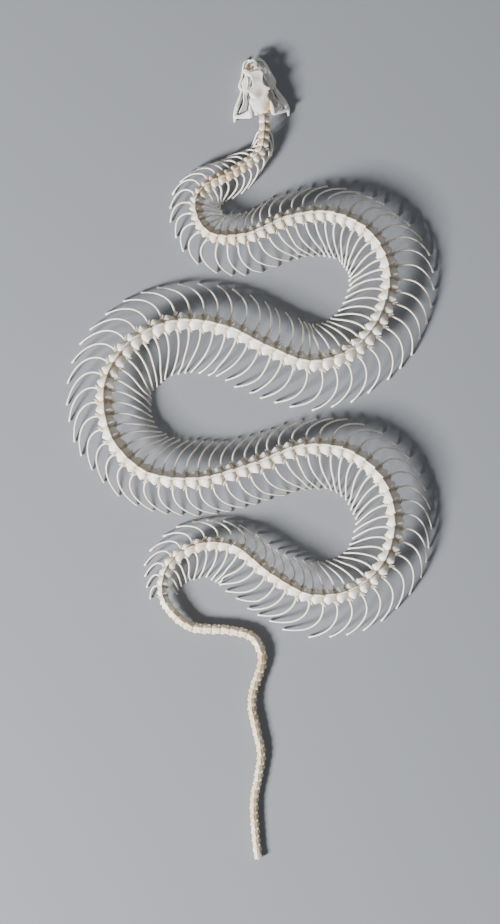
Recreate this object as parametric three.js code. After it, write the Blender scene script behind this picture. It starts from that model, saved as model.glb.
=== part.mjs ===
// Snake skeleton laid out in an S shape: skull, neck, ribbed trunk and tail of a pit viper.
// Millimetres, +Z up. The bones lie on the plane z = 0; the origin is at the middle of the
// skeleton's plan. The skull is at +Y, the tail runs towards -Y.
import * as THREE from 'three';

// ---------------------------------------------------------------- driving dimensions

// Middle line of the spine, from the back of the skull to the last tail vertebra.
const SPINE_ROUTE = [
  [6.5, 172.0], [6.5, 164.5], [4.5, 153.5], [-9.5, 142.5], [-21.5, 136.5], [-27.0, 129.5], [-26.5, 120.0],
  [-19.5, 111.5], [-2.0, 111.0], [19.0, 119.5], [40.5, 121.5], [59.5, 112.0], [69.0, 94.5], [65.5, 72.0],
  [51.5, 54.0], [30.5, 47.5], [10.0, 54.5], [-12.5, 65.0], [-37.5, 67.5], [-60.0, 57.0], [-72.5, 36.5],
  [-69.5, 10.5], [-53.0, -7.0], [-27.0, -11.0], [2.0, -3.5], [25.0, 5.0], [47.5, 3.5], [65.5, -10.5],
  [72.0, -32.0], [65.5, -54.0], [50.5, -66.5], [30.5, -69.0], [11.0, -59.0], [-9.0, -44.5], [-26.5, -44.0],
  [-41.0, -53.5], [-44.0, -69.5], [-31.5, -84.0], [-11.0, -86.5], [0.5, -90.0], [5.5, -100.0],
  [1.0, -117.5], [0.5, -126.0], [3.0, -138.0], [5.0, -148.5], [3.5, -160.5], [1.5, -171.5], [2.0, -187.0],
  [3.5, -201.0],
];

// Middle of the finished skeleton's plan in the route's own coordinates.
const PLAN_CENTRE = new THREE.Vector2(-0.43, 0.11);

// Profiles along the spine: [distance from the skull, value].
const VERTEBRA_PITCH = [
  [0, 3.9], [60, 4.2], [120, 5.3], [200, 5.8], [300, 6.5], [560, 6.2], [700, 6.0], [735, 4.7], [905, 4.0],
];
const SHORTEST_PITCH = 2.5;
const HALF_WIDTH = [[0, 2.7], [50, 3.0], [90, 4.0], [200, 4.6], [560, 4.5], [680, 3.7], [735, 2.9], [905, 1.9]];
const SPINE_HEIGHT = [[0, 7.2], [50, 9.0], [120, 11.5], [660, 11.5], [735, 5.0], [760, 2.9], [905, 1.7]];
const CREST_RISE = [[0, 2.3], [50, 3.2], [120, 4.2], [620, 4.2], [735, 2.8], [905, 1.5]];
const WAIST = 0.84; // width of a vertebra's waist, as a part of its full width
const CREST_LEAN = new THREE.Vector3(-0.2, 0.27, 0); // the crests lean this way, by this much of their height
const KEEL_DROP = [[0, 2.6], [50, 3.6], [120, 4.2], [620, 4.0], [735, 2.6], [905, 1.6]];
const RIB_REACH = {
  left: [
    [15, 5.5], [24, 9.0], [35, 9.5], [48, 11.5], [54, 13.5], [68, 14.5], [78, 17.0], [86, 19.0], [122, 20.3],
    [272, 20.0], [345, 21.0], [372, 20.0], [400, 17.5], [442, 18.0], [472, 19.5], [497, 21.5], [532, 21.5],
    [625, 17.5], [645, 13.5], [660, 11.2], [675, 11.2], [697, 13.0], [712, 12.5], [724, 9.5], [737, 5.5],
  ],
  right: [
    [15, 5.5], [20, 8.0], [26, 10.5], [48, 12.0], [92, 12.5], [122, 14.0], [157, 17.5], [168, 21.5], [182, 23.3],
    [200, 23.0], [222, 22.5], [272, 25.0], [317, 25.0], [360, 23.0], [407, 21.5], [442, 20.0], [460, 16.5],
    [480, 14.0], [500, 14.0], [532, 17.3], [560, 18.7], [582, 20.0], [610, 21.0], [662, 21.0], [682, 19.5],
    [697, 16.0], [712, 13.0], [724, 9.0], [737, 5.5],
  ],
};
const RIB_SWEEP = [
  [8, 9.0], [24, 9.5], [40, 8.0], [55, 5.5], [80, 5.5], [100, 8.5], [130, 11.0], [150, 10.5], [175, 8.8],
  [215, 9.2], [240, 10.0], [260, 8.2], [300, 8.5], [335, 12.5], [415, 12.5], [440, 11.0], [600, 11.0],
  [690, 9.5], [715, 8.5], [737, 4.0],
];
const RIB_TURN = THREE.MathUtils.degToRad(62); // a rib turns this far back between its root and its tip
const RIB_FORWARD_BOW = 1.0; // how far the middle of a rib bows towards the head
const INSIDE_ROOM = 0.78; // longest reach of a rib on the inner side of a bend, as a part of its radius
const RIB_RADIUS_ROOT = 0.55;
const RIB_RADIUS_TIP = 0.45;
const RIB_STEPS = [0.3, 0.68, 1]; // the rib's rings, as parts of its way from root to tip
const FIRST_RIBBED_VERTEBRA = 2;
const RIBLESS_BEFORE_TAIL = 1; // vertebrae

const JOINT_GAP = 0.35; // between two lengths of the spine
const SIDE_GAP = 0.3; // between the left and right halves of one length
const NECK_END = 58;
const TRUNK_END = 737;
const TRUNK_LENGTHS = 17;
const TAIL_LENGTHS = 4;

// The back of the braincase; the neck meets it a little to its right.
const SKULL_PLACE = new THREE.Vector2(5.1, 173.2);
const SKULL_TURN = THREE.MathUtils.degToRad(7.7); // the snout points this far to the left of +Y
const FLOOR_SNAP = 0.05; // corners of the jaws this close to the floor lie flat on it

const BONE_COLOR = '#e9e2d0';
const AGED_BONE_COLOR = '#d9c9a4';

// ---------------------------------------------------------------- materials

function boneMaterial(color) {
  return new THREE.MeshStandardMaterial({ color, roughness: 0.62, metalness: 0 });
}

// ---------------------------------------------------------------- helpers

function interpolate(profile, s) {
  for (let i = 1; i < profile.length; i += 1) {
    const [s0, v0] = profile[i - 1];
    const [s1, v1] = profile[i];
    if (s <= s1) {
      return THREE.MathUtils.lerp(v0, v1, THREE.MathUtils.clamp((s - s0) / (s1 - s0), 0, 1));
    }
  }
  return profile[profile.length - 1][1];
}

// Collects corners and triangles of one closed surface.
class Shell {
  constructor() {
    this.positions = [];
    this.indices = [];
  }

  corner(point) {
    this.positions.push(point.x, point.y, point.z);
    return this.positions.length / 3 - 1;
  }

  // A polygon whose corners run counterclockwise seen from outside, or clockwise where mirrored.
  face(corners, mirrored = false) {
    const loop = mirrored ? [...corners].reverse() : corners;
    for (let i = 2; i < loop.length; i += 1) {
      this.indices.push(loop[0], loop[i - 1], loop[i]);
    }
  }

  // The strip of quads between two closed rings with equally many corners.
  band(ringA, ringB) {
    ringA.forEach((corner, i) => {
      const next = (i + 1) % ringA.length;
      this.face([corner, ringB[i], ringB[next], ringA[next]]);
    });
  }

  // The closed surface through rings of equally many corners, each clockwise seen along the way.
  loft(rings) {
    this.face(rings[0]);
    rings.slice(1).forEach((ring, i) => this.band(rings[i], ring));
    this.face([...rings[rings.length - 1]].reverse());
  }

  mesh(name, color) {
    const geometry = new THREE.BufferGeometry();
    geometry.setAttribute('position', new THREE.Float32BufferAttribute(this.positions, 3));
    geometry.setIndex(this.indices);
    geometry.computeVertexNormals();
    const mesh = new THREE.Mesh(geometry, boneMaterial(color));
    mesh.name = name;
    return mesh;
  }
}

// ---------------------------------------------------------------- the spine's course

const routeCurve = new THREE.CatmullRomCurve3(
  SPINE_ROUTE.map(([x, y]) => new THREE.Vector3(x, y, 0)),
  false,
  'centripetal',
);
routeCurve.arcLengthDivisions = 2000;
const routeLength = routeCurve.getLength();

// Place, heading and sideways direction of the spine at the distance s from the skull.
function spineFrame(s) {
  const u = THREE.MathUtils.clamp(s / routeLength, 0, 1);
  const place = routeCurve.getPointAt(u);
  const back = routeCurve.getTangentAt(u);
  const right = new THREE.Vector3(-back.y, back.x, 0);
  place.z = interpolate(SPINE_HEIGHT, s);
  return { place, back, right };
}

// Curvature of the route, positive where it bends towards the snake's right side.
function curvature(s) {
  const reach = 4;
  const before = spineFrame(s - reach).back;
  const after = spineFrame(s + reach).back;
  return (before.x * after.y - before.y * after.x) / (2 * reach);
}

// How far a rib may reach towards the inner side of a bend before its neighbours meet it.
function insideRoom(s, side) {
  const bends = [0, 6, 12].map((ahead) => curvature(s + ahead) * side);
  return INSIDE_ROOM / Math.max(...bends, 0.01);
}

function vertebraStarts() {
  const places = [];
  for (let s = 0; s < routeLength - SHORTEST_PITCH; s += interpolate(VERTEBRA_PITCH, s)) {
    places.push(s);
  }
  places.push(routeLength);
  return places;
}

const starts = vertebraStarts();
const tailStart = starts.findIndex((s) => s >= TRUNK_END);
const neckEnd = starts.findIndex((s) => s >= NECK_END);

// ---------------------------------------------------------------- vertebrae and ribs

// How far the crest leans over to the snake's right at the distance s, for each mm of its height.
function crestLean(s) {
  return CREST_LEAN.dot(spineFrame(s).right);
}

// Joint ring of one half of a vertebra: crest, wing, rib facet and keel.
function jointRing(shell, s, side) {
  const { place, right } = spineFrame(s);
  const width = interpolate(HALF_WIDTH, s);
  const crest = 0.5 * interpolate(CREST_RISE, s);
  const at = (across, up) => shell.corner(place.clone().addScaledVector(right, side * across)
    .add(new THREE.Vector3(0, 0, up)));
  return [
    at(SIDE_GAP / 2 + side * crestLean(s) * crest, crest),
    at(width, 0.8),
    at(0.72 * width, -1.2),
    at(SIDE_GAP / 2, -0.6 * interpolate(KEEL_DROP, s)),
  ];
}

// Waist ring of one half of a vertebra: tip of the neural spine, side and tip of the keel.
function waistRing(shell, s, side) {
  const { place, right } = spineFrame(s);
  const crest = interpolate(CREST_RISE, s);
  const at = (across, up) => shell.corner(place.clone().addScaledVector(right, side * across)
    .add(new THREE.Vector3(0, 0, up)));
  return [
    at(SIDE_GAP / 2 + side * crestLean(s) * crest, crest),
    at(WAIST * interpolate(HALF_WIDTH, s), 0.4),
    at(SIDE_GAP / 2, -interpolate(KEEL_DROP, s)),
  ];
}

// Point of a rib at the part u of its way, for a rib that starts at the distance s from the skull.
// It follows the bend of the spine, so neighbouring ribs fan out or close up but never cross.
function ribPoint(s, side, u) {
  const angle = RIB_TURN * u;
  const reach = Math.min(interpolate(side > 0 ? RIB_REACH.right : RIB_REACH.left, s), insideRoom(s, side));
  const start = 0.7 * interpolate(HALF_WIDTH, s);
  const across = start + (reach - start) * (Math.sin(angle) / Math.sin(RIB_TURN));
  const sweep = interpolate(RIB_SWEEP, s) * ((1 - Math.cos(angle)) / (1 - Math.cos(RIB_TURN)));
  const bow = RIB_FORWARD_BOW * Math.sin(Math.PI * u);
  const { place, right } = spineFrame(s + sweep - bow);
  place.addScaledVector(right, side * across);
  place.z = spineFrame(s).place.z * (1 - u ** 1.9);
  return place;
}

// Grows a rib out of the triangle `root` of the shell and brings its flat tip down to z = 0.
function growRib(shell, root, s, side) {
  const { back } = spineFrame(s);
  let ring = root;
  for (const u of RIB_STEPS) {
    const centre = ribPoint(s, side, u);
    const along = ribPoint(s, side, u + 0.02).sub(ribPoint(s, side, u - 0.02)).normalize();
    const rear = back.clone().addScaledVector(along, -back.dot(along)).normalize();
    const top = rear.clone().cross(along).multiplyScalar(side);
    const radius = THREE.MathUtils.lerp(RIB_RADIUS_ROOT, RIB_RADIUS_TIP, u);
    const next = [[-0.5, 0.87], [1, 0], [-0.5, -0.87]].map(([r, t]) => {
      const corner = centre.clone().addScaledVector(rear, r * radius).addScaledVector(top, t * radius);
      corner.z = u === 1 ? 0 : corner.z;
      return shell.corner(corner);
    });
    for (let i = 0; i < 3; i += 1) {
      const j = (i + 1) % 3;
      shell.face([ring[i], ring[j], next[j], next[i]], side < 0);
    }
    ring = next;
  }
  shell.face(ring, side < 0);
}

// One side of a length of spine, with its ribs: vertebrae `from` up to, not including, `to`.
function halfLength(name, from, to, side, color) {
  const shell = new Shell();
  const mirrored = side < 0;
  let joint = jointRing(shell, starts[from], side);
  shell.face(joint, mirrored);
  for (let i = from; i < to; i += 1) {
    const pitch = starts[i + 1] - starts[i];
    const waist = waistRing(shell, starts[i] + 0.55 * pitch, side);
    const ribRoot = [joint[1], waist[1], joint[2]];
    shell.face([joint[0], waist[0], waist[1], joint[1]], mirrored);
    if (i >= FIRST_RIBBED_VERTEBRA && i < tailStart - RIBLESS_BEFORE_TAIL) {
      growRib(shell, ribRoot, starts[i] + 0.2 * pitch, side);
    } else {
      shell.face(ribRoot, mirrored);
    }
    shell.face([joint[2], waist[1], waist[2], joint[3]], mirrored);
    shell.face([joint[3], waist[2], waist[0], joint[0]], mirrored);
    const next = jointRing(shell, starts[i + 1] - (i === to - 1 ? JOINT_GAP : 0), side);
    shell.face([waist[0], next[0], next[1], waist[1]], mirrored);
    shell.face([waist[1], next[1], next[2]], mirrored);
    shell.face([waist[1], next[2], next[3], waist[2]], mirrored);
    shell.face([waist[2], next[3], next[0], waist[0]], mirrored);
    joint = next;
  }
  shell.face([...joint].reverse(), mirrored);
  return shell.mesh(name, color);
}

// Ring of a tail vertebra, with a narrow flat foot on the floor.
function tailRing(shell, s, widthPart, crestPart) {
  const { place, right } = spineFrame(s);
  const width = widthPart * interpolate(HALF_WIDTH, s);
  const foot = 0.25 * interpolate(HALF_WIDTH, s);
  const crest = place.z + crestPart * interpolate(CREST_RISE, s);
  const footHeight = Math.max(0, place.z - interpolate(KEEL_DROP, s) - 0.4);
  const corners = [[0, crest], [width, place.z], [foot, footHeight], [-foot, footHeight], [-width, place.z]];
  return corners.map(([across, z]) => {
    const corner = place.clone().addScaledVector(right, across);
    corner.z = z;
    return shell.corner(corner);
  });
}

function tailLength(name, from, to) {
  const shell = new Shell();
  const rings = [tailRing(shell, starts[from], 1, 0.55)];
  for (let i = from; i < to; i += 1) {
    const pitch = starts[i + 1] - starts[i];
    const end = starts[i + 1] - (i === to - 1 ? JOINT_GAP : 0);
    rings.push(tailRing(shell, starts[i] + 0.5 * pitch, 0.6, 1), tailRing(shell, end, 1, 0.55));
  }
  shell.loft(rings);
  return shell.mesh(name, AGED_BONE_COLOR);
}

function spineMeshes() {
  const meshes = [];
  const bothSides = (name, from, to, color) => {
    meshes.push(halfLength(`${name}_left`, from, to, -1, color));
    meshes.push(halfLength(`${name}_right`, from, to, 1, color));
  };
  bothSides('neck', 0, neckEnd, BONE_COLOR);
  for (let k = 0; k < TRUNK_LENGTHS; k += 1) {
    const share = (n) => neckEnd + Math.round(((tailStart - neckEnd) * n) / TRUNK_LENGTHS);
    bothSides(`trunk_${String(k + 1).padStart(2, '0')}`, share(k), share(k + 1), BONE_COLOR);
  }
  const last = starts.length - 1;
  for (let k = 0; k < TAIL_LENGTHS; k += 1) {
    const share = (n) => tailStart + Math.round(((last - tailStart) * n) / TAIL_LENGTHS);
    meshes.push(tailLength(`tail_${k + 1}`, share(k), share(k + 1)));
  }
  return meshes;
}

// ---------------------------------------------------------------- skull
// In the skull's own frame the back of the braincase is at y = 0, the snout at +Y, the right side at +X.

// A bone with rings across its length: each station is [x, y, z, width, height], and the rings have
// six corners, flat above and below.
function barBone(name, stations, color = BONE_COLOR) {
  const shell = new Shell();
  const middle = stations.map(([x, y, z]) => new THREE.Vector3(x, y, z));
  const up = new THREE.Vector3(0, 0, 1);
  const rings = stations.map(([, , , width, height], i) => {
    const along = middle[Math.min(i + 1, middle.length - 1)].clone().sub(middle[Math.max(i - 1, 0)]).normalize();
    const across = along.clone().cross(up).normalize();
    const over = across.clone().cross(along).normalize();
    const corners = [[0.5, 0], [0.3, 0.5], [-0.3, 0.5], [-0.5, 0], [-0.3, -0.5], [0.3, -0.5]];
    return corners.map(([a, o]) => {
      const corner = middle[i].clone().addScaledVector(across, a * width).addScaledVector(over, o * height);
      corner.z = corner.z < FLOOR_SNAP ? 0 : corner.z;
      return shell.corner(corner);
    });
  });
  shell.loft(rings);
  return shell.mesh(name, color);
}

// Braincase with the frontals and the flat parietal table: each station is
// [y, top half width, top z, side half width, side z, bottom half width, bottom z].
function cranium() {
  const stations = [
    [0.0, 2.4, 7.9, 3.6, 6.4, 2.2, 4.9],
    [2.2, 1.8, 8.6, 5.0, 6.8, 2.6, 4.5],
    [5.0, 1.2, 9.3, 5.1, 7.0, 2.4, 4.5],
    [8.6, 3.9, 9.5, 4.7, 7.4, 2.0, 4.9],
    [10.6, 5.5, 9.3, 4.2, 7.8, 1.8, 5.3],
    [12.2, 4.1, 9.2, 3.2, 7.7, 1.5, 5.6],
    [15.6, 2.3, 9.1, 2.0, 7.5, 1.1, 6.2],
    [18.8, 2.9, 8.8, 2.3, 7.5, 1.2, 6.4],
    [20.3, 2.0, 8.4, 1.6, 7.5, 1.0, 6.6],
  ];
  const shell = new Shell();
  const rings = stations.map(([y, topHalf, topZ, sideHalf, sideZ, lowHalf, lowZ]) => {
    const half = [[lowHalf, lowZ], [sideHalf, sideZ], [topHalf, topZ]];
    const corners = [...half, ...[...half].reverse().map(([x, z]) => [-x, z])];
    return corners.map(([x, z]) => shell.corner(new THREE.Vector3(x, y, z)));
  });
  shell.loft(rings);
  return shell.mesh('cranium', BONE_COLOR);
}

// Nasal bones running forward to the premaxilla, a small crossbar at the tip of the snout.
function snout() {
  return barBone('snout', [
    [0, 20.7, 7.6, 2.6, 1.3],
    [0, 23.4, 7.2, 1.5, 1.3],
    [0, 25.3, 6.2, 1.7, 1.8],
    [0, 26.4, 5.0, 4.6, 2.4],
    [0, 27.1, 4.0, 3.4, 2.2],
  ]);
}

// Stations of the bones that come in pairs, for the right side.
const PAIRED_BONES = {
  prefrontal: [
    [3.2, 19.0, 8.1, 1.6, 1.0], [4.4, 20.2, 7.6, 2.4, 1.1], [5.3, 21.5, 7.3, 1.8, 0.8],
  ],
  postorbital: [
    [5.8, 11.9, 8.0, 1.0, 0.9], [6.8, 12.4, 7.2, 1.0, 0.9], [7.4, 12.5, 6.0, 0.8, 0.8],
  ],
  // The short upper jaw with its long hollow fang.
  maxilla: [
    [5.2, 22.0, 6.2, 1.6, 1.4], [5.4, 21.4, 5.0, 2.3, 2.2], [5.5, 20.7, 3.7, 1.5, 1.5],
    [5.4, 19.8, 2.4, 0.9, 0.9], [5.2, 18.4, 1.0, 0.5, 0.5],
  ],
  ectopterygoid: [
    [5.6, 19.6, 4.6, 1.8, 0.9], [6.2, 16.4, 4.4, 1.5, 0.8], [6.7, 13.0, 4.3, 1.4, 0.8],
    [7.1, 10.4, 4.3, 1.0, 0.8],
  ],
  pterygoid: [
    [2.5, 21.4, 5.0, 0.8, 0.8], [3.1, 16.4, 4.6, 1.0, 0.8], [4.4, 12.4, 4.3, 1.4, 0.8],
    [6.2, 8.4, 3.9, 2.8, 0.7], [8.2, 4.6, 3.7, 3.2, 0.7], [10.8, 1.2, 3.4, 1.0, 0.8],
  ],
  supratemporal: [
    [5.5, 5.0, 8.0, 0.8, 0.7], [5.7, 1.8, 8.2, 1.5, 0.9], [5.8, -2.1, 7.7, 1.7, 1.1],
  ],
  quadrate: [
    [6.5, -0.6, 6.6, 3.0, 0.9], [8.6, -0.7, 5.9, 2.2, 0.9], [11.2, -0.5, 4.9, 1.3, 1.0],
    [13.3, -0.2, 4.0, 1.5, 1.2],
  ],
  mandible: [
    [2.2, 27.3, 0.8, 0.9, 1.0], [3.6, 26.5, 0.75, 1.0, 1.5], [4.8, 25.1, 0.8, 1.1, 1.6],
    [6.1, 22.2, 0.95, 1.2, 1.9], [7.2, 19.0, 1.1, 1.3, 2.2], [8.6, 15.0, 1.3, 1.7, 2.6],
    [7.8, 12.0, 1.4, 1.4, 2.8], [9.8, 8.4, 1.6, 1.8, 3.0], [12.1, 4.3, 1.6, 2.0, 3.0],
    [13.5, 0.4, 1.5, 1.8, 2.6], [13.2, -3.4, 1.3, 0.8, 1.2],
  ],
};

// The left lower jaw is spread wider at the front and at its rear tip than the right one.
const LEFT_MANDIBLE = [
  [3.3, 27.4, 0.8, 1.1, 1.0], [4.7, 26.6, 0.75, 1.2, 1.5], [5.7, 25.0, 0.8, 1.2, 1.6],
  [6.5, 22.2, 0.95, 1.2, 1.9], [7.4, 19.0, 1.1, 1.3, 2.2], [9.0, 15.0, 1.3, 1.7, 2.6],
  [8.0, 12.0, 1.4, 1.4, 2.8], [9.9, 8.4, 1.6, 1.8, 3.0], [12.2, 4.3, 1.6, 2.0, 3.0],
  [13.6, 0.4, 1.5, 1.8, 2.6], [14.0, -3.0, 1.3, 0.8, 1.2],
];

function pairedBones(side) {
  const sign = side === 'left' ? -1 : 1;
  const bones = side === 'left' ? { ...PAIRED_BONES, mandible: LEFT_MANDIBLE } : PAIRED_BONES;
  return Object.entries(bones).map(([bone, stations]) => barBone(
    `${bone}_${side}`,
    stations.map(([x, ...rest]) => [sign * x, ...rest]),
  ));
}

function skull() {
  const group = new THREE.Group();
  group.position.set(SKULL_PLACE.x, SKULL_PLACE.y, 0);
  group.rotation.z = SKULL_TURN;
  group.add(cranium(), snout(), ...pairedBones('left'), ...pairedBones('right'));
  return group;
}

// ---------------------------------------------------------------- the whole skeleton

const skeleton = new THREE.Group();
skeleton.add(skull(), ...spineMeshes());
skeleton.position.set(-PLAN_CENTRE.x, -PLAN_CENTRE.y, 0);

export default skeleton;
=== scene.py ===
"""Skeleton of a pit viper, laid out in winding bends and seen from above.

Every length of the spine is one piece: vertebrae fused from rounded parts, with their ribs. Every bone
of the skull is a piece of its own. Dimensions are millimetres, and meshes are scaled to metres last.
"""
import math
import random

import bmesh
import bpy
import numpy as np
from mathutils import Euler, Matrix, Vector


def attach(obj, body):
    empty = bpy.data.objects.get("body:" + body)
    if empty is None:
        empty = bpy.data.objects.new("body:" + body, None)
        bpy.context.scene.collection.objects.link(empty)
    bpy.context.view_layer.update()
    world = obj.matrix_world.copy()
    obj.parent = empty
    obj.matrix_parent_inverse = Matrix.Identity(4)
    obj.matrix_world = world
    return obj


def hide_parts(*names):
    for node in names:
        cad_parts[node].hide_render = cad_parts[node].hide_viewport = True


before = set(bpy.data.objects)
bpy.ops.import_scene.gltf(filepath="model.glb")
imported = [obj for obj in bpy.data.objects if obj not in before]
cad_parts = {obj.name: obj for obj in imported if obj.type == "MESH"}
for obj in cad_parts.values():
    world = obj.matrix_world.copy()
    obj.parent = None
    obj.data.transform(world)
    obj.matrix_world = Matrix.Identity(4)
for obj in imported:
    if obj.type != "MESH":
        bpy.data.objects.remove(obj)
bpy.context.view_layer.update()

# ------------------------------------------------------------------ driving dimensions
MM = 0.001
SEED = 11

# Middle line of the spine, from the back of the skull to the last tail vertebra.
SPINE_ROUTE = [
    (6.5, 172.0), (6.5, 164.5), (4.5, 153.5), (-9.5, 142.5), (-21.5, 136.5), (-27.0, 129.5),
    (-26.5, 120.0), (-19.5, 111.5), (-2.0, 111.0), (19.0, 119.5), (40.5, 121.5), (59.5, 112.0),
    (69.0, 94.5), (65.5, 72.0), (51.5, 54.0), (30.5, 47.5), (10.0, 54.5), (-12.5, 65.0), (-37.5, 67.5),
    (-60.0, 57.0), (-72.5, 36.5), (-69.5, 10.5), (-53.0, -7.0), (-27.0, -11.0), (2.0, -3.5), (25.0, 5.0),
    (47.5, 3.5), (65.5, -10.5), (72.0, -32.0), (65.5, -54.0), (50.5, -66.5), (30.5, -69.0), (11.0, -59.0),
    (-9.0, -44.5), (-26.5, -44.0), (-41.0, -53.5), (-44.0, -69.5), (-31.5, -84.0), (-11.0, -86.5),
    (0.5, -90.0), (5.5, -100.0), (1.0, -117.5), (0.5, -126.0), (3.0, -138.0), (5.0, -148.5), (3.5, -160.5),
    (1.5, -171.5), (2.0, -187.0), (3.5, -201.0),
]
PLAN_CENTRE = np.array([-0.43, 0.11])

# Profiles along the spine: (distance from the skull, value).
VERTEBRA_PITCH = [
    (0, 3.9), (60, 4.2), (120, 5.3), (200, 5.8), (300, 6.5), (560, 6.2), (700, 6.0), (735, 4.7), (905, 4.0),
]
SHORTEST_PITCH = 2.5
HALF_WIDTH = [
    (0, 2.8), (50, 3.1), (90, 4.1), (200, 4.6), (560, 4.5), (680, 3.7), (735, 2.8), (780, 2.45), (905, 2.1),
]
SPINE_HEIGHT = [(0, 7.2), (50, 9.0), (120, 11.5), (660, 11.5), (735, 5.0), (760, 2.9), (905, 1.7)]
CREST_RISE = [(0, 2.3), (50, 3.2), (120, 4.2), (620, 4.2), (735, 2.8), (905, 1.5)]
CREST_LEAN = np.array([-0.2, 0.27, 0])  # the crests lean this way, by this much of their height
KEEL_DROP = [(0, 2.6), (50, 3.6), (120, 4.2), (620, 4.0), (735, 2.6), (905, 1.6)]
RIB_REACH = {
    -1: [
        (15, 5.5), (24, 9.0), (35, 9.5), (48, 11.5), (54, 13.5), (68, 14.5), (78, 17.0), (86, 19.0),
        (122, 20.3), (272, 20.0), (345, 21.0), (372, 20.0), (400, 17.5), (442, 18.0), (472, 19.5),
        (497, 21.5), (532, 21.5), (625, 17.5), (645, 13.5), (660, 11.2), (675, 11.2), (697, 13.0),
        (712, 12.5), (724, 9.5), (737, 5.5),
    ],
    1: [
        (15, 5.5), (20, 8.0), (26, 10.5), (48, 12.0), (92, 12.5), (122, 14.0), (157, 17.5), (168, 21.5),
        (182, 23.3), (200, 23.0), (222, 22.5), (272, 25.0), (317, 25.0), (360, 23.0), (407, 21.5), (442, 20.0),
        (460, 16.5), (480, 14.0), (500, 14.0), (532, 17.3), (560, 18.7), (582, 20.0), (610, 21.0), (662, 21.0),
        (682, 19.5), (697, 16.0), (712, 13.0), (724, 9.0), (737, 5.5),
    ],
}
RIB_SWEEP = [
    (8, 9.0), (24, 9.5), (40, 8.0), (55, 5.5), (80, 5.5), (100, 8.5), (130, 11.0), (150, 10.5), (175, 8.8),
    (215, 9.2), (240, 10.0), (260, 8.2), (300, 8.5), (335, 12.5), (415, 12.5), (440, 11.0), (600, 11.0),
    (690, 9.5), (715, 8.5), (737, 4.0),
]
# How yellow-brown the bone is: 0 white, 1 deeply aged.
SPINE_AGE = [
    (0, 0.85), (45, 0.75), (70, 0.35), (95, 0.6), (120, 0.2), (300, 0.22), (385, 0.4), (430, 0.2),
    (560, 0.18), (660, 0.3), (700, 0.5), (720, 0.3), (760, 0.5), (800, 0.9), (830, 0.5), (860, 0.8), (905, 0.6),
]
INSIDE_HOOK = 0.45  # how much further the ribs on the inner side of a bend sweep back
INSIDE_ROOM = 0.90  # longest rib on the inner side of a bend, as a part of its radius
FIRST_RIBBED_VERTEBRA = 2
RIBLESS_BEFORE_TAIL = 1
# Where the neck and the trunk end, and into how many pieces trunk and tail are divided.
NECK_END = 58
TRUNK_END = 737
TRUNK_LENGTHS = 17
TAIL_LENGTHS = 4
FULL_BEFORE_NECK_END = 3  # the last vertebrae of the neck look like those of the trunk

# The back of the braincase, and how far the snout points to the left of +Y.
SKULL_PLACE = np.array([5.1, 173.2])
SKULL_TURN = math.radians(7.7)

# A trunk vertebra and a tail vertebra as they are modelled: pitch, half width, crest rise, keel drop.
TRUNK_MODEL = (6.0, 4.6, 4.2, 4.2)
TAIL_MODEL = (4.4, 2.4, 2.1, 2.1)


# Half the distance over which the route's direction and its curvature are taken.
DIRECTION_REACH = 0.3
CURVATURE_REACH = 4


# ------------------------------------------------------------------ the spine's course
def profile(table, s):
    """Value of a profile at the distance s from the skull."""
    where, value = zip(*table)
    return float(np.interp(s, where, value))


def smooth_path(points, per_span):
    """Centripetal Catmull-Rom curve through points, with `per_span` samples in each span."""
    points = np.asarray(points, float)
    first, last = 2 * points[0] - points[1], 2 * points[-1] - points[-2]
    ring = np.vstack([first, points, last])
    t = np.linspace(0, 1, per_span, endpoint=False)[:, None]
    spans = []
    for a, b, c, d in zip(ring, ring[1:], ring[2:], ring[3:]):
        d1, d2, d3 = (math.sqrt(np.linalg.norm(v)) for v in (b - a, c - b, d - c))
        leave = ((b - a) / d1 - (c - a) / (d1 + d2) + (c - b) / d2) * d2
        arrive = ((c - b) / d2 - (d - b) / (d2 + d3) + (d - c) / d3) * d2
        square, cube = 3 * (c - b) - 2 * leave - arrive, 2 * (b - c) + leave + arrive
        spans.append(b + leave * t + square * t**2 + cube * t**3)
    return np.vstack([*spans, points[-1:]])


ROUTE = smooth_path(SPINE_ROUTE, 40) - PLAN_CENTRE
ROUTE_S = np.concatenate([[0], np.cumsum(np.linalg.norm(np.diff(ROUTE, axis=0), axis=1))])
ROUTE_LENGTH = float(ROUTE_S[-1])


def on_route(s):
    """Place on the route, seen from above, at the distance s."""
    return np.array([np.interp(s, ROUTE_S, ROUTE[:, 0]), np.interp(s, ROUTE_S, ROUTE[:, 1])])


def spine_frame(s):
    """Place of the spine's middle, its direction to the tail, and the snake's right, at the distance s."""
    here = min(max(s, 0), ROUTE_LENGTH)
    back = on_route(min(here + DIRECTION_REACH, ROUTE_LENGTH)) - on_route(max(here - DIRECTION_REACH, 0))
    back /= np.linalg.norm(back)
    place = np.array([*on_route(here), profile(SPINE_HEIGHT, s)])
    return place, np.array([*back, 0]), np.array([-back[1], back[0], 0])


def curvature(s):
    """Curvature of the route, positive where it bends towards the snake's right."""
    before, after = spine_frame(s - CURVATURE_REACH)[1], spine_frame(s + CURVATURE_REACH)[1]
    return (before[0] * after[1] - before[1] * after[0]) / (2 * CURVATURE_REACH)


def vertebra_starts():
    """Distances of the vertebrae's front joints from the skull, and the end of the last one."""
    starts, s = [], 0.0
    while s < ROUTE_LENGTH - SHORTEST_PITCH:
        starts.append(s)
        s += profile(VERTEBRA_PITCH, s)
    return [*starts, ROUTE_LENGTH]


STARTS = vertebra_starts()
NECK_COUNT = next(i for i, s in enumerate(STARTS) if s >= NECK_END)
TAIL_START = next(i for i, s in enumerate(STARTS) if s >= TRUNK_END)


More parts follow.
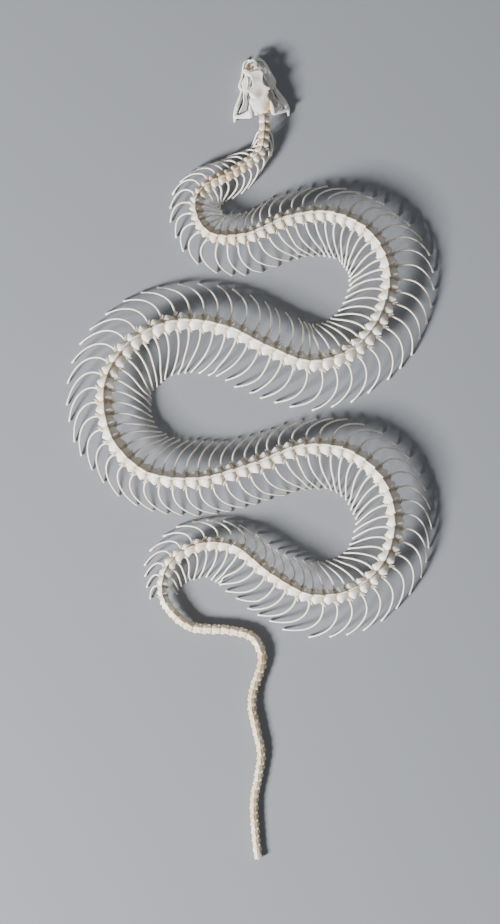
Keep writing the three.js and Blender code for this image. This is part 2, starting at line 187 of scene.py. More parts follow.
# ------------------------------------------------------------------ materials
# Tan of aged bone; on the cranium's right side it is also painted shade.
AGE_AND_SHADE_TINT = (0.62, 0.44, 0.25)
BLOTCH_AMOUNT = 0.35  # stain away from the hollows
GLOW_WEIGHT = 0.12  # light that passes through the bone: its share, colour and depth in metres
GLOW_RADIUS = (1.0, 0.6, 0.35)
GLOW_DEPTH = 0.0006
GLOSS = 0.35
PORE_STRENGTH = 0.22
PORE_DEPTH = 0.00012


def bone_material(name, light, dark, stain_and_shade, stain_and_shade_amount):
    """Dry bone: a light and a dark tone in soft patches, aged tint, brown stain and painted shade in the
    hollows, fine pores.
    """
    mat = bpy.data.materials.new(name)
    mat.use_nodes = True
    nodes, links = mat.node_tree.nodes, mat.node_tree.links
    shader = nodes["Principled BSDF"]
    coords = nodes.new("ShaderNodeTexCoord")

    def noise(scale, detail, rough=0.55):
        node = nodes.new("ShaderNodeTexNoise")
        node.inputs["Scale"].default_value = scale
        node.inputs["Detail"].default_value = detail
        node.inputs["Roughness"].default_value = rough
        links.new(coords.outputs["Object"], node.inputs["Vector"])
        return node.outputs["Fac"]

    def ramp(value, low, high):
        node = nodes.new("ShaderNodeMapRange")
        node.inputs["From Min"].default_value = low
        node.inputs["From Max"].default_value = high
        links.new(value, node.inputs["Value"])
        return node.outputs["Result"]

    def maths(kind, a, b):
        node = nodes.new("ShaderNodeMath")
        node.operation = kind
        node.use_clamp = True
        for socket, value in zip(node.inputs, (a, b)):
            if isinstance(value, float):
                socket.default_value = value
            else:
                links.new(value, socket)
        return node.outputs["Value"]

    def mix(factor, a, b):
        node = nodes.new("ShaderNodeMix")
        node.data_type = "RGBA"
        links.new(factor, node.inputs["Factor"])
        for socket, value in ((node.inputs[6], a), (node.inputs[7], b)):
            if isinstance(value, tuple):
                socket.default_value = (*value, 1)
            else:
                links.new(value, socket)
        return node.outputs[2]

    def attribute(name):
        node = nodes.new("ShaderNodeAttribute")
        node.attribute_name = name
        return node.outputs["Fac"]

    patches = ramp(noise(90, 4), 0.42, 0.62)
    blotches = ramp(noise(240, 6, 0.65), 0.50, 0.72)
    # Stain and painted shade: the mesh's cavity values, which darken hollows, laps and rib roots, plus random
    # blotches of real stain.
    hollows = maths("ADD", attribute("cavity"), maths("MULTIPLY", blotches, BLOTCH_AMOUNT))
    stained_and_shaded = maths("MULTIPLY", hollows, stain_and_shade_amount)
    tinted = maths("MULTIPLY", attribute("age"), ramp(noise(150, 4, 0.6), 0.30, 0.62))
    tone = mix(tinted, mix(patches, light, dark), AGE_AND_SHADE_TINT)
    links.new(mix(stained_and_shaded, tone, stain_and_shade), shader.inputs["Base Color"])
    links.new(ramp(noise(500, 3), -0.5, 1.6), shader.inputs["Roughness"])
    shader.inputs["Subsurface Weight"].default_value = GLOW_WEIGHT
    shader.inputs["Subsurface Radius"].default_value = GLOW_RADIUS
    shader.inputs["Subsurface Scale"].default_value = GLOW_DEPTH
    shader.inputs["Specular IOR Level"].default_value = GLOSS

    pores = nodes.new("ShaderNodeBump")
    pores.inputs["Strength"].default_value = PORE_STRENGTH
    pores.inputs["Distance"].default_value = PORE_DEPTH
    links.new(noise(1900, 5, 0.7), pores.inputs["Height"])
    links.new(pores.outputs["Normal"], shader.inputs["Normal"])
    return mat


# Light tone, dark tone, the colour of stain and painted shade, and how strongly the hollows are darkened with
# it.
BONE_TONES = {
    "skull_bone": ((0.90, 0.89, 0.86), (0.80, 0.77, 0.71), (0.30, 0.19, 0.10), 0.62),
    "trunk_bone": ((0.92, 0.89, 0.83), (0.84, 0.79, 0.69), (0.35, 0.27, 0.17), 0.72),
    "tail_bone": ((0.86, 0.79, 0.66), (0.72, 0.62, 0.45), (0.30, 0.20, 0.10), 0.62),
    "thin_bone": ((0.56, 0.55, 0.52), (0.42, 0.40, 0.36), (0.26, 0.19, 0.12), 0.40),
}
MATERIALS = {name: bone_material(name, *tones) for name, tones in BONE_TONES.items()}


# ------------------------------------------------------------------ meshes
class Clay:
    """Gathers rounded parts, in millimetres, and fuses them into one smooth bone."""

    def __init__(self):
        self.bm = bmesh.new()

    def ball(self, centre, radii, turn=(0, 0, 0)):
        place = Matrix.Translation(centre) @ Euler(turn).to_matrix().to_4x4() @ Matrix.Diagonal((*radii, 1))
        bmesh.ops.create_icosphere(self.bm, subdivisions=3, radius=1, matrix=place)

    def rod(self, stations, sides=12, per_span=5, power=2.0):
        """Rounded bar through stations (x, y, z, width, height), closed by domed ends."""
        path = smooth_path([s[:3] for s in stations], per_span)
        knots = np.arange(len(stations)) * per_span
        at = np.arange(len(path))
        size = [np.interp(at, knots, [s[k] for s in stations]) for k in (3, 4)]
        along = np.gradient(path, axis=0)
        rings = []
        for point, direction, width, height in zip(path, along, *size):
            across = np.cross(direction, (0, 0, 1))
            if np.linalg.norm(across) < 1e-6:
                across = np.array([1.0, 0, 0])
            across /= np.linalg.norm(across)
            over = np.cross(across, direction)
            over /= np.linalg.norm(over)
            ring = []
            for k in range(sides):
                angle = 2 * math.pi * k / sides
                c, s = math.cos(angle), math.sin(angle)
                a = math.copysign(abs(c) ** (2 / power), c) * width / 2
                o = math.copysign(abs(s) ** (2 / power), s) * height / 2
                ring.append(self.bm.verts.new(point + a * across + o * over))
            rings.append(ring)
        for low, high in zip(rings, rings[1:]):
            for k in range(sides):
                self.bm.faces.new((low[k], low[(k + 1) % sides], high[(k + 1) % sides], high[k]))
        self.bm.faces.new(rings[0][::-1])
        self.bm.faces.new(rings[-1])

    def plate(self, outline, low, high):
        """Plate with that outline (x, y), counterclockwise; low and high give its heights at y."""
        under = [self.bm.verts.new((x, y, low(y))) for x, y in outline]
        over = [self.bm.verts.new((x, y, high(y))) for x, y in outline]
        self.bm.faces.new(under[::-1])
        self.bm.faces.new(over)
        for i in range(len(outline)):
            j = (i + 1) % len(outline)
            self.bm.faces.new((under[i], under[j], over[j], over[i]))

    def cone(self, base, tip, radius, sides=8):
        """A point that narrows to its tip, such as a process or a tooth."""
        base, tip = Vector(base), Vector(tip)
        middle = base.lerp(tip, 0.55)
        self.rod([(*base, 2 * radius, 2 * radius), (*middle, 1.25 * radius, 1.25 * radius),
                  (*tip, 0.3 * radius, 0.3 * radius)], sides=sides, per_span=3)

    def fused(self, voxel, smooth, keep):
        """The parts as one closed surface: (points in mm, polygons)."""
        mesh = bpy.data.meshes.new("clay")
        bmesh.ops.recalc_face_normals(self.bm, faces=self.bm.faces)
        self.bm.to_mesh(mesh)
        self.bm.free()
        obj = bpy.data.objects.new("clay", mesh)
        bpy.context.collection.objects.link(obj)
        remesh = obj.modifiers.new("fuse", "REMESH")
        remesh.mode = "VOXEL"
        remesh.voxel_size = voxel
        relax = obj.modifiers.new("relax", "SMOOTH")
        relax.factor = 0.5
        relax.iterations = smooth
        thin = obj.modifiers.new("thin", "DECIMATE")
        thin.ratio = keep
        done = obj.evaluated_get(bpy.context.evaluated_depsgraph_get()).to_mesh()
        points = np.array([v.co for v in done.vertices])
        polygons = [tuple(p.vertices) for p in done.polygons]
        bpy.data.objects.remove(obj)
        bpy.data.meshes.remove(mesh)
        return points, polygons


CAVITY_GAIN = 7


def cavity_of(points, polygons, rounds=3):
    """How hollow the surface is at each point, from 0 on bulges and flats to 1 in deep hollows."""
    edges = np.array([(p[i - 1], p[i]) for p in polygons for i in range(len(p))])
    count = np.zeros(len(points))
    np.add.at(count, edges.ravel(), 1)
    count = np.maximum(count, 1)[:, None]

    def neighbours(values):
        total = np.zeros_like(values)
        np.add.at(total, edges[:, 0], values[edges[:, 1]])
        np.add.at(total, edges[:, 1], values[edges[:, 0]])
        return total / count

    normals = np.zeros_like(points)
    for p in polygons:
        a, b, c = points[p[0]], points[p[1]], points[p[-1]]
        normals[list(p)] += np.cross(b - a, c - a)
    normals /= np.maximum(np.linalg.norm(normals, axis=1), 1e-12)[:, None]
    hollow = ((neighbours(points) - points) * normals).sum(1, keepdims=True)
    size = np.linalg.norm(points[edges[:, 0]] - points[edges[:, 1]], axis=1).mean()
    for _ in range(rounds):
        hollow = 0.4 * hollow + 0.6 * neighbours(hollow)
    return np.clip(hollow[:, 0] / size * CAVITY_GAIN, 0, 1)


class Piece:
    """One visible object, gathered from shapes whose points are in millimetres in the row frame."""

    def __init__(self, name, slot, nodes):
        self.name, self.slot, self.nodes = name, slot, nodes
        self.points, self.polygons, self.cavity, self.age, self.thin = [], [], [], [], []
        self.count = 0

    def add(self, points, polygons, cavity, age, thin=False):
        """Adds a shape with, at each point, its stain and painted shade and its aged tint, which on the cranium
        is partly painted shade; thin bone is darker.
        """
        self.points.append(points)
        self.age.append(np.zeros(len(points)) + age)
        self.polygons += [tuple(i + self.count for i in p) for p in polygons]
        self.cavity.append(cavity)
        self.thin += [thin] * len(polygons)
        self.count += len(points)

    def make(self):
        mesh = bpy.data.meshes.new(self.name)
        mesh.from_pydata((np.vstack(self.points) * MM).tolist(), [], self.polygons)
        mesh.polygons.foreach_set("use_smooth", [True] * len(mesh.polygons))
        mesh.materials.append(MATERIALS[self.slot])
        if any(self.thin):
            mesh.materials.append(MATERIALS["thin_bone"])
            mesh.polygons.foreach_set("material_index", [int(t) for t in self.thin])
        for name, values in (("cavity", self.cavity), ("age", self.age)):
            mesh.attributes.new(name, "FLOAT", "POINT").data.foreach_set("value", np.concatenate(values))
        mesh.update()
        obj = bpy.data.objects.new(self.name, mesh)
        bpy.context.collection.objects.link(obj)
        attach(obj, "root")
        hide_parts(*self.nodes)


# ------------------------------------------------------------------ vertebrae
# In a vertebra's own frame x is the snake's right, y runs to the tail from its front joint, z is up.
# Half of the roof of a trunk vertebra, from its front to its rear edge: y, half width, height at the
# middle line and at the outer edge. It flares to the rear, where it laps over the next one.
ROOF = [
    (0.2, 2.6, 1.1, -0.3), (1.2, 2.8, 1.5, -0.1), (2.3, 3.1, 1.95, 0.2), (3.3, 3.55, 2.3, 0.5),
    (4.3, 4.1, 2.5, 0.85), (5.1, 4.5, 2.5, 0.9), (5.7, 4.55, 2.25, 0.7), (6.2, 4.3, 1.8, 0.4),
    (6.7, 3.7, 1.1, 0.0),
]
ROOF_FULL_WIDTH = 4.5  # half width where no waist is left
ROOF_THICK = 1.0
ROOF_DOME = 0.35
ROOF_STEADY_ROWS = 3  # rows at the front that take no part in the flare and the lap
ROOF_NOTCH = 0.6  # how far the rear edge is drawn forward where it doesn't lap
ROOF_SLOPE = 1.8  # power of the fall from the middle line to the outer edge
TRUNK_MODELS = 3
NECK_MODELS = 3
TAIL_MODELS = 4
NECK_FULLNESS = 0.55


def loose(rng):
    """A function that gives a value with a random difference of at most the spread."""
    return lambda value, spread: value + rng.uniform(-spread, spread)


def roof_half(clay, side, flare, lap, full):
    """One scale-shaped half of a vertebra's roof; its rear edge bulges back beside the neural spine."""
    across = np.linspace(0, 1, 9)
    last = len(ROOF) - 1
    rows = []
    for n, (y, width, middle, edge) in enumerate(ROOF):
        back = max(0, n - ROOF_STEADY_ROWS) / (last - ROOF_STEADY_ROWS)
        dome = ROOF_DOME * math.sin(math.pi * (0.1 + 0.8 * n / last))
        row = []
        for v in across:
            x = side * v * (width + full * (ROOF_FULL_WIDTH - width)) * (1 + flare * back)
            shift = back * (lap * math.sin(math.pi * min(1, 0.2 + 0.72 * v)) - ROOF_NOTCH)
            row.append((x, y + shift, middle + (edge - middle) * v**ROOF_SLOPE + dome))
        rows.append(row)
    over = [[clay.bm.verts.new(p) for p in row] for row in rows]
    under = [[clay.bm.verts.new((x, y, z - ROOF_THICK)) for x, y, z in row] for row in rows]
    for sheet, flip in ((over, False), (under, True)):
        for a, b in zip(sheet, sheet[1:]):
            for k in range(len(across) - 1):
                quad = (a[k], a[k + 1], b[k + 1], b[k])
                clay.bm.faces.new(quad[::-1] if flip else quad)

    def rim(sheet):
        outer, inner = [row[-1] for row in sheet[1:-1]], [row[0] for row in sheet[-2:0:-1]]
        return sheet[0] + outer + sheet[-1][::-1] + inner

    top, low = rim(over), rim(under)
    for k in range(len(top)):
        j = (k + 1) % len(top)
        clay.bm.faces.new((top[k], low[k], low[j], top[j]))


def trunk_vertebra(rng, full=0.0):
    """Trunk vertebra of a viper, at the size of TRUNK_MODEL.

    `full` fills its waist and lowers its spine, as in the neck.
    """
    clay, about = Clay(), loose(rng)
    # Centrum with its cup at the front and its ball at the rear, and the arch over the spinal cord.
    clay.rod([(0, 0.0, -0.8, 3.4, 2.5), (0, 1.6, -0.9, 3.0, 2.3), (0, 3.8, -0.9, 2.4, 2.0),
              (0, 5.4, -0.8, 2.2, 1.9)])
    clay.ball((0, 5.9, -0.7), (1.0, 0.9, 0.9))
    clay.rod([(0, -0.1, -0.1, 4.6, 2.3), (0, 2.0, 0.1, 5.2, 2.6), (0, 4.2, 0.4, 5.2, 2.8),
              (0, 6.1, 0.7, 4.4, 2.4)], sides=20)
    # Neural spine: a thin blade along the whole roof, with a thicker upper edge.
    blade, low = 0.85 + 1.3 * full, 1.9 * full
    clay.rod([(0, 0.4, 1.9 - low, blade + 0.1, 1.5), (0, 1.3, 2.6 - low, blade, 2.3),
              (0, 3.4, 2.9 - low, blade, 2.4), (0, 6.2, 3.0 - low, blade, 2.3)], power=3 - full)
    clay.rod([(0, 0.9, about(3.7, 0.1) - low, blade, 0.5),
              (about(0, 0.2), 3.4, about(4.0, 0.08) - low, blade + 0.1, 0.5),
              (about(0, 0.25), 6.4, about(4.0, 0.1) - low, blade + 0.2, 0.55)])
    # Keel that points down and back.
    clay.rod([(0, 2.0, -1.6, 0.8, 1.2), (0, 3.8, -2.4, 0.7, 1.6), (0, 5.6, -3.7, 0.5, 0.6)], power=3)
    for side in (-1, 1):
        roof_half(clay, side, rng.uniform(-0.04, 0.03), about(1.25, 0.12) * (1 - 0.4 * full), full)
        # Front joint plate with its pointed process.
        clay.ball((side * 3.2, 1.3, 0.05), (1.25, 1.0, 0.6), (0, -side * 0.2, 0))
        tip = (side * about(5.6 - 0.7 * full, 0.2), about(-0.1, 0.3), 0.15)
        clay.cone((side * 3.3, 1.2, 0.15), tip, 0.6)
        # Rib facet, low at the front, with a small spur below it.
        clay.rod([(side * 1.6, 1.5, -0.8, 1.6, 2.0), (side * 3.0, 1.7, -1.0, 1.5, 1.8)])
        clay.ball((side * 3.5, 1.8, -0.9), (0.9, 0.9, 0.95))
        clay.cone((side * 2.3, 0.6, -1.7), (side * 2.4, -0.1, -2.6), 0.4)
    points, polygons = clay.fused(0.19, smooth=2, keep=0.45)
    # Painted shade under the lap of the vertebra before it and beside the neural spine, added to the stain and
    # painted shade of the hollows.
    x, y, z = np.abs(points[:, 0]), points[:, 1], points[:, 2]
    shade_under_lap = np.exp(-(((y - 1.1 - 0.12 * x) / 0.95) ** 2)) * (z > -0.6)
    shade_beside_ridge = np.exp(-(((x - 0.9) / 0.45) ** 2)) * (z > 0.5)
    stain_and_shade = cavity_of(points, polygons) + shade_under_lap + 0.3 * shade_beside_ridge
    return points, polygons, np.clip(stain_and_shade, 0, 1)


def tail_vertebra(rng):
    """Tail vertebra, at the size of TAIL_MODEL: low crest, side processes and two small keels."""
    clay, about = Clay(), loose(rng)
    lean = about(0, 0.15)
    clay.rod([(lean, -0.2, 0.0, 3.7, 2.8), (0, 1.3, 0.1, 4.1, 3.1), (lean, 3.0, 0.2, 3.8, 3.2),
              (lean, 4.5, 0.2, 3.7, 2.8)], sides=16)
    clay.ball((0, 4.4, -0.2), (0.8, 0.5, 0.7))
    clay.rod([(0, 0.4, 1.2, 1.3, 0.8), (about(0, 0.15), 2.0, 1.5, 1.0, 1.0),
              (about(0, 0.2), 4.2, 1.5, 1.3, 0.8)])
    for side in (-1, 1):
        clay.ball((side * 1.4, about(3.5, 0.3), 0.7), (0.9, about(1.1, 0.2), about(0.65, 0.12)),
                  (0.14, side * 0.25, 0))
        clay.ball((side * 1.8, about(1.3, 0.25), -0.2), (about(0.7, 0.12), 1.2, 0.8))
        clay.cone((side * 1.9, 1.4, -0.3), (side * about(2.7, 0.2), about(2.0, 0.4), -0.7), 0.5)
        clay.cone((side * 0.5, 2.8, -0.9), (side * 0.6, 3.7, -1.95), 0.35)
    points, polygons = clay.fused(0.13, smooth=2, keep=0.4)
    return points, polygons, cavity_of(points, polygons)


def placed(points, model, start, end, rng):
    """Points of a modelled vertebra, sized and set between two stations of the spine."""
    middle, pitch = (start + end) / 2, end - start
    model_pitch, model_width, model_rise, model_drop = model
    width, rise, drop = (profile(table, middle) for table in (HALF_WIDTH, CREST_RISE, KEEL_DROP))
    place, back, right = spine_frame(middle)
    tip, turn = rng.uniform(-0.03, 0.03), rng.uniform(-0.03, 0.03)
    x = points[:, 0] * (width / model_width)
    y = (points[:, 1] / model_pitch - 0.5) * pitch
    z = points[:, 2] * np.where(points[:, 2] > 0, rise / model_rise, drop / model_drop)
    slope = (profile(SPINE_HEIGHT, end) - profile(SPINE_HEIGHT, start)) / pitch
    x, y = x + np.maximum(z, 0) * (tip + CREST_LEAN @ right) + y * turn, y - x * turn
    z = z + y * slope
    return place + x[:, None] * right + y[:, None] * back + z[:, None] * np.array([0, 0, 1])


# ------------------------------------------------------------------ ribs
RIB_SIDES = 8
RIB_RINGS = 16
RIB_PLACE = 0.28  # the rib's head, as a part of the vertebra's length behind its front joint
RIB_HEAD = 0.62  # and beside the middle line, as a part of the spine's half width
RIB_TURN = math.radians(62)
RIB_FORWARD_BOW = 1.0
BEND_PLACES = (0, 6, 12)  # distances behind a rib's head at which the spine's bend shortens the rib
# Heights: the head below the spine's middle, the power of the fall, and the tip above the floor.
RIB_HEAD_DROP = 1.0
RIB_FALL = 1.9
RIB_TIP_HEIGHT = 0.42
# Radius at the root, at the shaft and at the end, and the parts of the way where shaft and knob begin.
RIB_ROOT = 0.86
RIB_SHAFT = 0.54
RIB_END = 0.40
RIB_SHAFT_FROM = 0.18
RIB_KNOB_FROM = 0.93
RIB_KNOB = [(0, 0.5), (60, 0.72), (180, 0.72), (260, 0.6), (740, 0.55)]  # radius of the tip's knob
RIB_SECTION = (0.9, 1.1)  # width and height of the rib, as parts of that diameter


def rib_point(s, side, u, reach, sweep):
    """Point of a rib at the part u of its way; it follows the spine's bend, so that ribs fan out."""
    angle = RIB_TURN * u
    start = RIB_HEAD * profile(HALF_WIDTH, s)
    across = start + (reach - start) * math.sin(angle) / math.sin(RIB_TURN)
    behind = sweep * (1 - math.cos(angle)) / (1 - math.cos(RIB_TURN))
    behind -= RIB_FORWARD_BOW * math.sin(math.pi * u)
    place, _, right = spine_frame(s + behind)
    place = place + right * (side * across)
    place[2] = (spine_frame(s)[0][2] - RIB_HEAD_DROP) * (1 - u**RIB_FALL) + RIB_TIP_HEIGHT * u
    return place


def rib_radius(u, knob):
    swell = RIB_ROOT + (RIB_SHAFT - RIB_ROOT) * min(1, u / RIB_SHAFT_FROM)
    taper = swell + (RIB_END - RIB_SHAFT) * max(0, (u - RIB_SHAFT_FROM) / (1 - RIB_SHAFT_FROM))
    return taper + (knob - RIB_END) * max(0, (u - RIB_KNOB_FROM) / (1 - RIB_KNOB_FROM))


def add_rib(piece, s, side, rng):
    """Adds the rib on that side (-1 left, 1 right) whose head is at the distance s."""
    bends = [curvature(s + behind) * side for behind in BEND_PLACES]
    reach = min(profile(RIB_REACH[side], s), INSIDE_ROOM / max(*bends, 0.01)) * rng.uniform(0.96, 1.0)
    # Neighbours lean together here and there, and ribs on the inner side of a bend hook further back.
    wave = math.sin(s / 5.3 + side) + math.sin(s / 13.0 + 2.1 * side)
    inward = min(1, max(0, bends[1] * reach))
    sweep = profile(RIB_SWEEP, s) * (rng.uniform(0.95, 1.05) + 0.045 * wave) * (1 + INSIDE_HOOK * inward)
    knob = profile(RIB_KNOB, s) * rng.uniform(0.85, 1.1)
    parts = np.linspace(0, 1, RIB_RINGS)
    path = np.array([rib_point(s, side, u, reach, sweep) for u in parts])
    along = np.gradient(path, axis=0)
    along /= np.linalg.norm(along, axis=1)[:, None]
    points = []
    for u, centre, direction in zip(parts, path, along):
        across = np.cross(direction, (0, 0, 1))
        across /= np.linalg.norm(across)
        over = np.cross(across, direction)
        radius = rib_radius(u, knob)
        for k in range(RIB_SIDES):
            angle = 2 * math.pi * k / RIB_SIDES
            a, o = RIB_SECTION[0] * math.cos(angle), RIB_SECTION[1] * math.sin(angle)
            points.append(centre + radius * (a * across + o * over))
    rings = [[r * RIB_SIDES + k for k in range(RIB_SIDES)] for r in range(RIB_RINGS)]
    polygons = [
        (low[k], low[(k + 1) % RIB_SIDES], high[(k + 1) % RIB_SIDES], high[k])
        for low, high in zip(rings, rings[1:]) for k in range(RIB_SIDES)
    ]
    tips = [len(points), len(points) + 1]
    points += [path[0] - 0.4 * along[0], path[-1] + 0.25 * along[-1]]
    for k in range(RIB_SIDES):
        j = (k + 1) % RIB_SIDES
        polygons.append((rings[0][j], rings[0][k], tips[0]))
        polygons.append((rings[-1][k], rings[-1][j], tips[1]))
    points = np.array(points)
    points[:, 2] = np.maximum(points[:, 2], 0)
    # A slight random stain over the whole rib, and painted shade at its root, which lies under the spine.
    stain_and_shade = np.full(len(points), rng.uniform(0, 0.06))
    stain_and_shade[: 2 * RIB_SIDES] += 0.3
    piece.add(points, polygons, stain_and_shade, rng.uniform(0, 0.1))


def shares(first, last, count):
    """The vertebrae from first to last in that many lengths: (first, last) of each."""
    bounds = [first + math.floor((last - first) * n / count + 0.5) for n in range(count + 1)]
    return zip(bounds, bounds[1:])


def spine_lengths():
    """The lengths of the spine: name, first and last vertebra, nodes that the piece replaces."""
    yield "neck", 0, NECK_COUNT, ("neck_left", "neck_right")
    for k, (first, last) in enumerate(shares(NECK_COUNT, TAIL_START, TRUNK_LENGTHS), 1):
        name = f"trunk_{k:02d}"
        yield name, first, last, (f"{name}_left", f"{name}_right")
    for k, (first, last) in enumerate(shares(TAIL_START, len(STARTS) - 1, TAIL_LENGTHS), 1):
        yield f"tail_{k}", first, last, (f"tail_{k}",)


def spine_pieces():
    rng = random.Random(SEED)
    trunk_models = [trunk_vertebra(rng) for _ in range(TRUNK_MODELS)]
    neck_models = [trunk_vertebra(rng, NECK_FULLNESS) for _ in range(NECK_MODELS)]
    tail_models = [tail_vertebra(rng) for _ in range(TAIL_MODELS)]
    for name, first, last, nodes in spine_lengths():
        tail = first >= TAIL_START
        piece = Piece(f"bones_{name}", "tail_bone" if tail else "trunk_bone", nodes)
        for i in range(first, last):
            start, end = STARTS[i], STARTS[i + 1]
            if tail:
                models, size = tail_models, TAIL_MODEL
            else:
                models, size = trunk_models, TRUNK_MODEL
                if i < NECK_COUNT - FULL_BEFORE_NECK_END:
                    models = neck_models
            points, polygons, cavity = rng.choice(models)
            points = placed(points, size, start, end, rng)
            points[:, 2] = np.maximum(points[:, 2], 0)
            piece.add(points, polygons, cavity, profile(SPINE_AGE, start))
            if FIRST_RIBBED_VERTEBRA <= i < TAIL_START - RIBLESS_BEFORE_TAIL:
                for side in (-1, 1):
                    add_rib(piece, start + RIB_PLACE * (end - start), side, rng)
        piece.make()


# ------------------------------------------------------------------ skull
# In the skull's own frame the back of the braincase is at y = 0, the snout at +Y, its right side at +X.
def in_row_frame(points):
    """The points where the skull lies in the layout."""
    c, s = math.cos(SKULL_TURN), math.sin(SKULL_TURN)
    turned = points @ np.array([[c, s, 0], [-s, c, 0], [0, 0, 1]])
    return turned + np.array([*(SKULL_PLACE - PLAN_CENTRE), 0])


def skull_piece(node, parts, aged=None):
    """One bone of the skull: parts is a list of (points, polygons, thin); the last argument gives the tan tint
    at points, on the cranium partly painted shade.
    """
    piece = Piece(f"bone_{node}", "skull_bone", (node,))
    for points, polygons, thin in parts:
        cavity = cavity_of(points, polygons, rounds=4)
        set_down = in_row_frame(points)
        set_down[:, 2] = np.maximum(set_down[:, 2], 0)
        piece.add(set_down, polygons, cavity, aged(points) if aged else 0.0, thin)
    piece.make()


def mirrored(stations, side):
    return [(side * x, *rest) for x, *rest in stations]


# Right half of the outline of the skull's flat top, from back to front, and its thickness.
TABLE_EDGE = [
    (0.4, 4.6), (1.7, 6.2), (3.2, 8.6), (4.7, 10.2), (5.9, 10.7), (5.6, 11.4), (4.0, 12.0), (2.7, 13.2),
    (2.3, 15.4), (2.6, 17.6), (3.2, 19.2), (2.6, 20.4), (0.9, 20.9),
]
TABLE_THICK = 1.6


def cranium():
    """Braincase, parietal and frontals as one bone."""
    clay = Clay()
    # Braincase, narrowing to the back of the head and running forward under the frontals.
    clay.ball((0, 4.4, 6.8), (5.4, 5.2, 2.2))
    clay.rod([(0, -0.4, 6.2, 5.4, 2.6), (0, 1.0, 6.6, 10.4, 3.2), (0, 3.2, 6.9, 11.4, 3.9),
              (0, 6.4, 7.2, 10.0, 4.2), (0, 9.4, 7.5, 8.0, 3.8), (0, 12.0, 7.6, 5.0, 3.2),
              (0, 15.6, 7.7, 3.9, 2.6), (0, 19.6, 7.5, 4.2, 1.9)], sides=24, power=2.3)

    # Flat table of the parietal with its two horns, and the frontals before it.
    def top(y):
        return 9.4 - 0.05 * max(0, y - 11) - 0.10 * max(0, 7 - y)

    left_edge = [(-x, y) for x, y in TABLE_EDGE[::-1]]
    clay.plate([left_edge[-1], *TABLE_EDGE, *left_edge[:-1]], lambda y: top(y) - TABLE_THICK, top)
    # Crest behind the table and the cross ridge of the occiput.
    clay.rod([(0, 5.4, 8.8, 1.5, 1.0), (0, 2.8, 8.4, 1.1, 1.0), (0, 0.8, 7.7, 1.2, 1.0)])
    # Joint with the neck, and the keel under the frontals.
    clay.ball((0, -0.5, 5.7), (1.1, 0.9, 0.9))
    clay.rod([(0, 12.0, 5.9, 1.5, 1.2), (0, 16.0, 6.2, 1.3, 1.0), (0, 20.4, 6.5, 1.4, 0.9)])
    for side in (-1, 1):
        clay.rod(mirrored([(0.4, 2.6, 8.2, 1.0, 0.9), (2.6, 1.6, 7.8, 1.1, 1.0),
                           (4.6, 1.4, 7.2, 1.3, 1.2)], side))
        clay.ball((side * 4.6, 2.8, 6.5), (1.6, 2.4, 1.7))
        clay.ball((side * 2.7, -0.3, 6.5), (1.5, 1.0, 1.3))
        # Slopes from the table down to the braincase, which blend the two.
        clay.rod(mirrored([(0.9, 4.8, 8.0, 2.2, 1.9), (2.7, 7.3, 8.1, 2.6, 2.1),
                           (4.4, 10.1, 8.2, 2.0, 1.9)], side))
        clay.ball((side * 3.4, 6.0, 7.6), (2.0, 2.6, 1.4), (0, 0, side * 0.4))
        # Rim of the eye socket.
        clay.rod(mirrored([(5.7, 11.1, 8.8, 0.9, 0.9), (2.8, 13.1, 8.8, 0.8, 0.9), (2.3, 15.4, 8.8, 0.7, 0.9),
                           (3.2, 19.2, 8.5, 0.9, 0.9)], side))
    points, polygons = clay.fused(0.16, smooth=12, keep=0.6)

    # The sutures between the bones, and shallow dips in the table and over the eyes.
    x, y, z = points.T
    seam = np.exp(-((x / 0.18) ** 2)) * (y > 12.6)
    cross = np.exp(-(((y - 12.4 - 0.25 * np.sin(x * 3.1)) / 0.18) ** 2))
    table = np.exp(-(((x / 2.4) ** 2 + ((y - 9.4) / 2.6) ** 2)))
    brow = np.exp(-(((np.abs(x) - 1.3) / 0.8) ** 2 + ((y - 17.6) / 2.2) ** 2))
    points[:, 2] -= (z > 8.0) * (0.22 * seam + 0.14 * cross + 0.45 * table + 0.3 * brow)

    def aged(at):
        """Tan to the right of the table, and right of the middle line behind it: aged bone, and painted shade
        on this side away from the light.
        """
        x, y, _ = at.T
        return 1.6 * np.clip((x - np.maximum(0.83 * (y - 4.5), -0.4)) / 3.2, 0, 1) * (y < 11)

    skull_piece("cranium", [(points, polygons, False)], aged)


